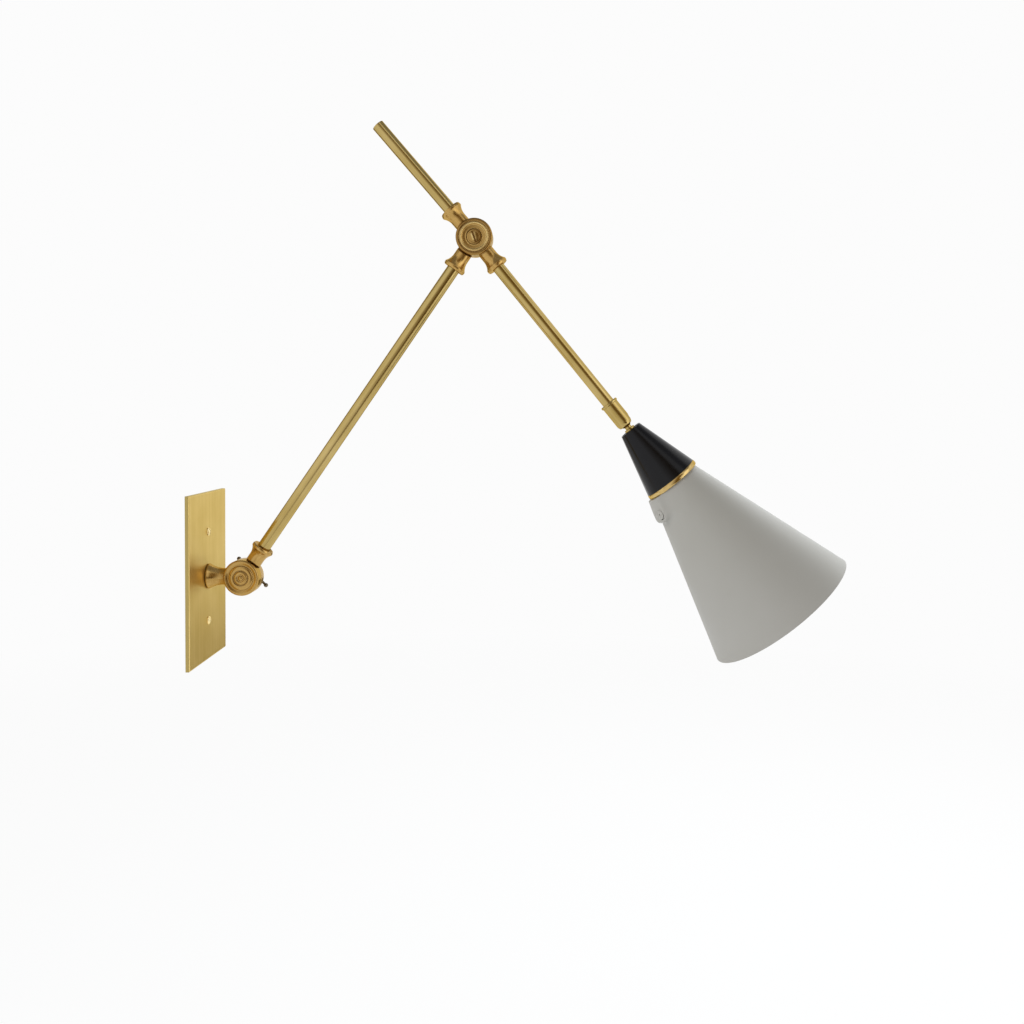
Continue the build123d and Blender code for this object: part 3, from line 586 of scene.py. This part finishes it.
def thread(pitch, depth, start, end, applies):
    """A helical groove from start to end that fades out over a turn at both ends."""

    def wave(radius, along, angle):
        if not applies(radius):
            return 0.0
        fade = min(1.0, max(0.0, (along - start) / pitch), max(0.0, (end - along) / pitch))
        return -depth * fade * (0.5 - 0.5 * cos(2 * pi * along / pitch - angle))

    return wave


def stretch_out(radius, start, end, size):
    """Points of a straight stretch of an outline at one radius."""
    return [(radius, along) for along in steps(start, end, size)]


def build_shade(outside, inside):
    """The conical shade with a rounded rim, grey outside and white inside."""
    cad = Profile("shade", BALL, HEAD_DOWN)
    hole, top = cad.radii(cad.start)
    rim_in, rim_out = cad.radii(cad.end)
    slope = (rim_out - top) / (cad.end - cad.start)
    corner = 0.8 * MM
    lip_share = 0.55
    lip = (rim_out - rim_in) * lip_share
    floor = cad.start + 1.2 * MM
    spacing = 20 * MM
    outer = [(hole, cad.start), (top - corner, cad.start)]
    outer += [(top - corner * 0.25, cad.start + corner * 0.2), (top + slope * corner, cad.start + corner)]
    outer += [
        (top + slope * (along - cad.start), along)
        for along in steps(cad.start + corner * 2, cad.end - lip, spacing)
    ]
    rim = bend((rim_out - lip, cad.end - lip), lip, 0, 180, count=10)[1:]
    inner = [(rim_in - slope * (cad.end - floor), floor), (hole, floor)]
    skins = [0] * (len(outer) + len(rim) // 2) + [1] * (len(rim) - len(rim) // 2 + len(inner))
    piece = Body(BALL, HEAD_DOWN)
    piece.turn(outer + rim + inner, segments=256, skins=skins)
    piece.finish("cone_shade", "shade_head", [outside, inside], "shade")


def closed_sheet(rows, columns, upper, lower):
    """A closed mesh between two surfaces that give a point for each row and column."""
    mesh = bmesh.new()
    top, bottom = (
        [[mesh.verts.new(surface(u, v)) for v in columns] for u in rows] for surface in (upper, lower)
    )
    last_row, last_column = len(rows) - 1, len(columns) - 1
    for sheet in (top, bottom):
        for i in range(last_row):
            for j in range(last_column):
                mesh.faces.new((sheet[i][j], sheet[i + 1][j], sheet[i + 1][j + 1], sheet[i][j + 1]))
    for i in range(last_row):
        for j in (0, last_column):
            mesh.faces.new((top[i][j], top[i + 1][j], bottom[i + 1][j], bottom[i][j]))
    for j in range(last_column):
        for i in (0, last_row):
            mesh.faces.new((top[i][j], top[i][j + 1], bottom[i][j + 1], bottom[i][j]))
    return mesh


def build_switch_blister(material):
    """The smooth blister on the shade that holds the push button."""
    cad = Profile("shade", BALL, HEAD_DOWN)
    top = cad.radii(cad.start)[1]
    slope = (cad.radii(cad.end)[1] - top) / (cad.end - cad.start)
    press = Vector(joints["switch_press"]["axis"]).normalized()
    button = Profile("switch_button", middle_of("switch_button"), press * -1)
    face = middle_of("switch_button") - press * button.end
    rise = 5.6 * MM
    place = face + press * (rise + 0.3 * MM)
    reach = (place - BALL).dot(HEAD_DOWN)
    outward = (place - BALL - HEAD_DOWN * reach).normalized()
    sideways = HEAD_DOWN.cross(outward)
    rightward = 1 if sideways.dot(ACROSS) < 0 else -1
    start = Profile("cap_ring", BALL, HEAD_DOWN).end + 0.1 * MM
    flat, left_flat, right_flat = 4.9 * MM, 14 * MM, 4.9 * MM
    foot, left_foot, right_foot = 11.4 * MM, 30 * MM, 34 * MM
    overlap, depth = 0.05 * MM, 0.7 * MM
    fall, fall_start = 0.045, 5 * MM
    hole_r, hole_depth = 4.75 * MM, 30 * MM
    spacing = 0.8 * MM

    def on_cone(u, v, lift):
        distance = reach + u
        radius = top + slope * (distance - cad.start)
        angle = v / radius
        across = outward * cos(angle) + sideways * sin(angle)
        return BALL + HEAD_DOWN * distance + across * (radius + lift)

    def lift_at(u, v):
        ahead = max(u, 0.0)
        on_right = v * rightward > 0
        past_flat = ((ahead / flat) ** 2 + (v / (right_flat if on_right else left_flat)) ** 2) ** 0.5 - 1
        to_foot = 1 - ((ahead / foot) ** 2 + (v / (right_foot if on_right else left_foot)) ** 2) ** 0.5
        high = rise - fall * max(0.0, -u - fall_start)
        if past_flat <= 0:
            return high - overlap
        if to_foot <= 0:
            return -overlap
        return high * (0.5 + 0.5 * cos(pi * past_flat / (past_flat + to_foot))) - overlap

    rows = steps(start - reach, foot, spacing)
    columns = steps(-left_foot * rightward, right_foot * rightward, spacing)
    mesh = closed_sheet(
        rows,
        columns,
        lambda u, v: on_cone(u, v, lift_at(u, v)),
        lambda u, v: on_cone(u, v, -depth),
    )
    piece = add_mesh("switch_blister", mesh, [material])
    bpy.ops.mesh.primitive_cylinder_add(vertices=64, radius=hole_r, depth=hole_depth, location=place)
    hole = bpy.context.object
    hole.rotation_euler = press.to_track_quat("Z", "Y").to_euler()
    cut(piece, [hole])
    settle(piece, "shade_head", "switch_housing")


def build_nipple(material):
    """The hollow threaded tube that the stem turns with."""
    cad = Profile("stem_nipple", WALL, OUT)
    bore, skin = cad.radii(cad.end)
    pitch = 1.0 * MM
    groove = 0.55 * MM
    end = 0.6 * MM
    outline = [(bore, cad.start), (skin - end, cad.start)]
    outline += stretch_out(skin, cad.start + end, cad.end - end, pitch / 8)
    outline += [(skin - end, cad.end), (bore, cad.end)]
    piece = Body(WALL, OUT)
    grooves = thread(pitch, groove, cad.start + end, cad.end - end, lambda r: r > skin - end / 2)
    piece.turn(outline, segments=64, wave=grooves)
    piece.finish("threaded_nipple", "stem", [material], "stem_nipple")


def build_holder_shell(material):
    """The lampholder's outer shell, with a shoulder and a thread for the shade's ring nut."""
    cad = Profile("lampholder_shell", BALL, HEAD_DOWN)
    skin = 17.0 * MM
    bore = 16.25 * MM
    liner = 15.2 * MM
    mouth = 14.0 * MM
    lip = 2.5 * MM
    ledge = cad.start + 2.2 * MM
    end = 0.8 * MM
    pitch = 2.0 * MM
    groove = 0.7 * MM
    shoulder = max(radius for radius, along in cad.points)
    shoulder_places = [along for radius, along in cad.points if radius > shoulder - TINY]
    near, far = min(shoulder_places), max(shoulder_places)
    outline = [(bore, cad.start), (skin, cad.start), (skin, near), (shoulder, near), (shoulder, far)]
    outline += stretch_out(skin, far, cad.end - end, pitch / 8)
    outline += [(skin - end, cad.end), (mouth, cad.end), (mouth, cad.end - lip)]
    outline += [(liner, cad.end - lip), (liner, ledge), (bore, ledge)]
    grooves = thread(pitch, groove, far, cad.end - end, lambda r: abs(r - skin) < TINY)
    piece = Body(BALL, HEAD_DOWN)
    piece.turn(outline, segments=96, wave=grooves)
    piece.finish("threaded_holder_shell", "shade_head", [material], "lampholder_shell")


def build_screw_shell(material):
    """The rolled screw shell that the lamp screws into."""
    cad = Profile("lampholder_screw_shell", BALL, HEAD_DOWN)
    inner, outer = cad.radii(cad.end)
    pitch = 3.63 * MM
    groove = 0.9 * MM
    spacing = 0.3 * MM
    outline = stretch_out(outer, cad.start, cad.end, spacing)
    outline += stretch_out(inner, cad.end, cad.start, spacing)
    piece = Body(BALL, HEAD_DOWN)
    grooves = thread(pitch, groove, cad.start, cad.end, lambda r: True)
    piece.turn(outline, segments=96, wave=grooves)
    piece.finish("rolled_screw_shell", "shade_head", [material], "lampholder_screw_shell")


def build_mounting_screws(material):
    """Two screws with domed, slotted heads and threaded shanks."""
    low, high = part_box("mounting_screws")
    head_r = (high.y - low.y) / 2
    tip, top = low.x, high.x
    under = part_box("backplate")[1].x
    rise = top - under
    edge = 0.5 * MM
    shank_r = 2.08 * MM
    neck_r = 1.8 * MM
    point = 1.0 * MM
    pitch = 0.79 * MM
    groove = 0.4 * MM
    spacing = 0.1 * MM
    slot_width = 1.2 * MM
    slot_floor = under + 1.1 * MM
    sphere_r = (head_r**2 + (rise - edge) ** 2) / (2 * (rise - edge))
    dome = [(r, top - sphere_r + (sphere_r**2 - r**2) ** 0.5) for r in steps(head_r, 0, head_r / 12)]
    outline = [(0, tip), (shank_r - point, tip)]
    outline += stretch_out(shank_r, tip + point, 0, spacing)
    outline += [(neck_r, 0), (neck_r, under), (head_r, under)] + dome
    grooves = thread(pitch, groove, tip + point, 0, lambda r: abs(r - shank_r) < TINY)
    screws = Body(WALL, OUT)
    cutters = []
    for height in (high.z - head_r, low.z + head_r):
        screws.origin = Vector((0, 0, height))
        screws.turn(outline, segments=48, wave=grooves)
        bpy.ops.mesh.primitive_cube_add(size=1, location=(slot_floor + rise, 0, height))
        cutter = bpy.context.object
        cutter.scale = (2 * rise, slot_width, 2 * head_r + 1 * MM)
        cutter.rotation_euler = (radians(SLOT_TURN), 0, 0)
        cutters.append(cutter)
    piece = add_mesh("threaded_mounting_screws", screws.mesh, [material])
    cut(piece, cutters)
    settle(piece, "wall_plate", "mounting_screws", smooth_angle=30)


add_camera()

# The CAD nodes' materials
# The plate's brass, with a painted highlight on its front edges and painted shade on its sides
plate_brass = brushed_brass(
    "plate_brass", UP, PLATE_DEEP, PLATE_LIGHT, PLATE_ROUGHNESS, PLATE_EDGE_HIGHLIGHT, PLATE_GLANCING
)
dress(plate_brass, "backplate")
lower_brass = brushed_brass("lower_tube_brass", LOWER_UP, TUBE_DEEP, TUBE_LIGHT, TUBE_ROUGHNESS)
dress(lower_brass, "lower_tube")
upper_brass = brushed_brass("upper_tube_brass", UPPER_DOWN, TUBE_DEEP, TUBE_LIGHT, TUBE_ROUGHNESS)
dress(
    upper_brass,
    "upper_tube",
    "swivel_collar",
    "swivel_sleeve",
    "swivel_retainer",
    "ball_seat",
    "swivel_ball",
)
tail_brass = brushed_brass("tail_tube_brass", TAIL_UP, TUBE_DEEP, TUBE_LIGHT, TUBE_ROUGHNESS)
dress(tail_brass, "tail_tube", "tail_plug")
polished = brushed_brass(
    "polished_ring_brass", HEAD_DOWN.cross(ACROSS), RING_DEEP, RING_LIGHT, RING_ROUGHNESS
)
dress(polished, "cap_ring")

# Turned castings, with painted shade in their grooves and painted highlights on their edges
stem_turned = turned_brass("stem_turned_brass", BASE, ACROSS, OUT, reach=1.8 * MM)
dress(stem_turned, "base_stem")
base_turned = turned_brass(
    "base_turned_brass", BASE, ACROSS, LOWER_UP, reach=1 * MM, glancing=BASE_GLANCING
)
dress(base_turned, "base_arm_hub")
lower_elbow_turned = turned_brass("lower_elbow_turned_brass", ELBOW, ACROSS, LOWER_UP)
dress(lower_elbow_turned, "elbow_lower_hub")
# The elbow's face gets a painted highlight on its bead, painted light in the recess and painted shade on
# the rim
upper_elbow_turned = turned_brass(
    "upper_elbow_turned_brass", ELBOW, ACROSS, UPPER_DOWN, ELBOW_HIGHLIGHT_R, reach=1.5 * MM
)
dress(upper_elbow_turned, "elbow_upper_hub", "elbow_spring_washer")
# The pivot screw gets painted shade in its slot and on its head, and painted highlights on the slot's lips
screw_turned = turned_brass(
    "screw_turned_brass", ELBOW, ACROSS, highlight_radius=ELBOW_HIGHLIGHT_R, reach=0.8 * MM, slot=SLOT_ACROSS
)
dress(screw_turned, "elbow_pivot_screw")
head_turned = turned_brass("head_turned_brass", BALL, HEAD_DOWN)
dress(head_turned, "cap_nut", "socket_coupling", "socket_nipple", "lampholder_cap", "lampholder_contact")

# The clamp screw, its washer and the tommy bar get a darker copy of brass, a painted shade
shaded_brass = mottled_metal("shade_darkened_brass", SHADED_BRASS_DEEP, SHADED_BRASS_LIGHT, roughness=(0.3, 0.42))
dress(shaded_brass, "clamp_screw", "tommy_bar", "tommy_bar_balls", "clamp_washer")
steel = mottled_metal("zinc_steel", ZINC_DEEP, ZINC_LIGHT, roughness=(0.25, 0.36))
dress(steel, "stem_lock_nut", "stem_spring_washer")

black = coating(
    "black_lacquer", BLACK_DEEP, BLACK_LIGHT, roughness=(0.16, 0.22), grain=600, Specular_IOR_Level=0.24
)
dress(black, "shade_cap")
grey = coating(
    "grey_paint",
    GREY_DEEP,
    GREY_LIGHT,
    roughness=(0.5, 0.6),
    grain=2400,
    Specular_IOR_Level=0.4,
    Sheen_Weight=0.25,
    Sheen_Roughness=0.35,
)
dress(grey, "switch_button")
plastic = coating(
    "black_plastic",
    PLASTIC_DEEP,
    PLASTIC_LIGHT,
    roughness=(0.4, 0.5),
    grain=900,
    depth=2 * FINE_DEPTH,
    Specular_IOR_Level=0.4,
)
dress(
    plastic,
    "shade_ring_nut",
    "switch_body",
    "lower_tube_bushings",
    "upper_tube_bushings",
    "lower_lead",
    "upper_lead",
    "socket_lead",
)
fibre = coating(
    "dark_fibre",
    FIBRE_DEEP,
    FIBRE_LIGHT,
    roughness=(0.6, 0.75),
    grain=1500,
    depth=3 * FINE_DEPTH,
    Specular_IOR_Level=0.2,
)
dress(fibre, "base_friction_washer", "elbow_friction_washer")
porcelain = coating("porcelain", PORCELAIN_DEEP, PORCELAIN_LIGHT, roughness=(0.12, 0.2), grain=300)
dress(porcelain, "lampholder_insulator")

# The pieces with threads, slots and rounded forms, and the two materials that only they have
white = coating(
    "white_paint", WHITE_DEEP, WHITE_LIGHT, roughness=(0.45, 0.55), grain=2400, Specular_IOR_Level=0.4
)
# The mounting screws' brass is lighter than the plate's, a painted highlight on their heads
highlit_screw_brass = brushed_brass(
    "highlit_screw_brass", UP, SCREW_HIGHLIT_DEEP, SCREW_HIGHLIT_LIGHT, SCREW_ROUGHNESS, SCREW_HIGHLIT_LIGHT, PLATE_GLANCING
)
build_shade(grey, white)
build_switch_blister(grey)
build_nipple(head_turned)
build_holder_shell(plastic)
build_screw_shell(head_turned)
build_mounting_screws(highlit_screw_brass)

# Floor, lights and world
MIDDLE = Vector((0.3, 0.0, 0.1))
WHITE_LEVEL = 0.973
FILL_LEVEL = 0.48
FILL_TINT = (1.0, 0.98, 0.92)
FLOOR_DROP = 0.8
FLOOR_SIZE = 60.0
FLOOR_FADE = (1.0, 4.0)
FLOOR_GLOW = (0.9, 1.0)
CARD_DISTANCE = 2.2
FLAG_DISTANCE = 2.4
CARD_FADE = 0.55
FLOOR_DEEP = (236, 236, 236)
FLOOR_LIGHT = (240, 240, 240)
CARD_WHITE = (251, 251, 251)
BRIGHT_CARD = (255, 255, 255)
HIGH_CARD = (132, 110, 68)
LOW_CARD = (116, 95, 56)
LEFT_FLAG = (172, 164, 142)
LOW_FLAG = (112, 98, 62)
TOP_FLAG = (154, 154, 156)


def background_rays(tree):
    """1 for the rays that should see the plain background."""
    paths = tree.nodes.new("ShaderNodeLightPath")
    total = paths.outputs["Is Camera Ray"]
    for name in ("Is Glossy Ray", "Is Transmission Ray"):
        step = tree.nodes.new("ShaderNodeMath")
        step.operation = "MAXIMUM"
        tree.links.new(total, step.inputs[0])
        tree.links.new(paths.outputs[name], step.inputs[1])
        total = step.outputs[0]
    return total


def add_world():
    """A white background, and a dimmer even light on the object."""
    world = bpy.data.worlds.new("studio")
    world.use_nodes = True
    tree = world.node_tree
    tree.nodes.clear()
    output = tree.nodes.new("ShaderNodeOutputWorld")
    mix = tree.nodes.new("ShaderNodeMixShader")
    for index, strength, tint in ((1, FILL_LEVEL, FILL_TINT), (2, WHITE_LEVEL, (1, 1, 1))):
        background = tree.nodes.new("ShaderNodeBackground")
        background.inputs["Color"].default_value = (*tint, 1)
        background.inputs["Strength"].default_value = strength
        tree.links.new(background.outputs[0], mix.inputs[index])
    tree.links.new(background_rays(tree), mix.inputs[0])
    tree.links.new(mix.outputs[0], output.inputs["Surface"])
    scene.world = world


def add_floor():
    """A plain pale floor well below the lamp, which turns into the white background away from it."""
    bpy.ops.mesh.primitive_plane_add(size=FLOOR_SIZE, location=(MIDDLE.x, 0, cad_box[0][2] - FLOOR_DROP))
    floor = bpy.context.object
    floor.name = "floor"
    s = Shading("floor_white", Roughness=0.9, Specular_IOR_Level=0.1)
    s.colour(s.mix(s.noise(s.place, FLOOR_CLOUD_SCALE), FLOOR_DEEP, FLOOR_LIGHT))
    glow = s.add("ShaderNodeEmission")
    glow.inputs["Color"].default_value = (1, 1, 1, 1)
    glow.inputs["Strength"].default_value = WHITE_LEVEL
    distance = s.vector("LENGTH", s.place)
    share = s.math("MULTIPLY", background_rays(s.tree), s.spread(distance, *FLOOR_FADE, *FLOOR_GLOW))
    mix = s.add("ShaderNodeMixShader")
    s.link(share, mix.inputs[0])
    s.link(s.shader.outputs["BSDF"], mix.inputs[1])
    s.link(glow.outputs[0], mix.inputs[2])
    s.link(mix.outputs[0], s.output.inputs["Surface"])
    floor.data.materials.append(s.material)


def aim(thing, place):
    """Put a light or card at a place, facing the middle of the lamp."""
    thing.location = place
    thing.rotation_euler = (MIDDLE - Vector(place)).to_track_quat("-Z", "Y").to_euler()


def round_the_lamp(turn, distance, height=0.0):
    """A place at an angle from straight in front of the lamp, to the right."""
    return MIDDLE + Vector((sin(radians(turn)), -cos(radians(turn)), 0)) * distance + UP * height


def add_softbox(name, place, size, power, tint):
    """A large square studio light, kept out of reflections."""
    data = bpy.data.lights.new(name, "AREA")
    data.shape = "RECTANGLE"
    data.size = size
    data.size_y = size
    data.energy = power
    data.color = tint
    lamp = bpy.data.objects.new(name, data)
    scene.collection.objects.link(lamp)
    aim(lamp, place)
    lamp.visible_glossy = False


def add_card(name, place, width, height, tone, first_tone=None, strength=1.0):
    """A card that only reflections see, as a studio has beside its lights.

    It may start at a first tone on its left and fade to its own over CARD_FADE of its width.
    """
    bpy.ops.mesh.primitive_plane_add(size=1)
    card = bpy.context.object
    card.name = name
    card.scale = (width, height, 1)
    aim(card, place)
    s = Shading(name)
    glow = s.add("ShaderNodeEmission")
    glow.inputs["Strength"].default_value = strength
    across = s.vector("DOT_PRODUCT", s.place, (1, 0, 0))
    faded = s.spread(across, -0.5, CARD_FADE - 0.5)
    s.link(s.mix(faded, first_tone or tone, tone), glow.inputs["Color"])
    s.link(glow.outputs[0], s.output.inputs["Surface"])
    card.data.materials.append(s.material)
    card.visible_camera = False
    card.visible_diffuse = False
    card.visible_shadow = False
    card.visible_transmission = False


add_world()
add_floor()
add_softbox("rim_softbox", (1.8, 1.9, 2.0), size=1.6, power=130, tint=(0.89, 0.95, 1.0))
add_softbox("key_softbox", (-1.6, -1.6, 1.1), size=1.4, power=27, tint=(0.97, 0.99, 1.0))
add_card("dark_card", round_the_lamp(5, CARD_DISTANCE, 0.88), 2.45, 1.95, HIGH_CARD, CARD_WHITE)
add_card("low_dark_card", round_the_lamp(16.5, CARD_DISTANCE, -1.05), 2.9, 2.3, LOW_CARD, CARD_WHITE)
add_card("bright_card", round_the_lamp(63, CARD_DISTANCE), 1.15, 3.6, BRIGHT_CARD, strength=1.6)
add_card("left_flag", round_the_lamp(-130, FLAG_DISTANCE), 1.8, 4.6, LEFT_FLAG)
add_card("low_flag", round_the_lamp(162, FLAG_DISTANCE, -1.15), 2.4, 1.1, LOW_FLAG)
add_card("top_flag", MIDDLE + Vector((-0.2, -0.1, 2.0)), 3.0, 3.6, TOP_FLAG)

scene.view_settings.view_transform = "Standard"
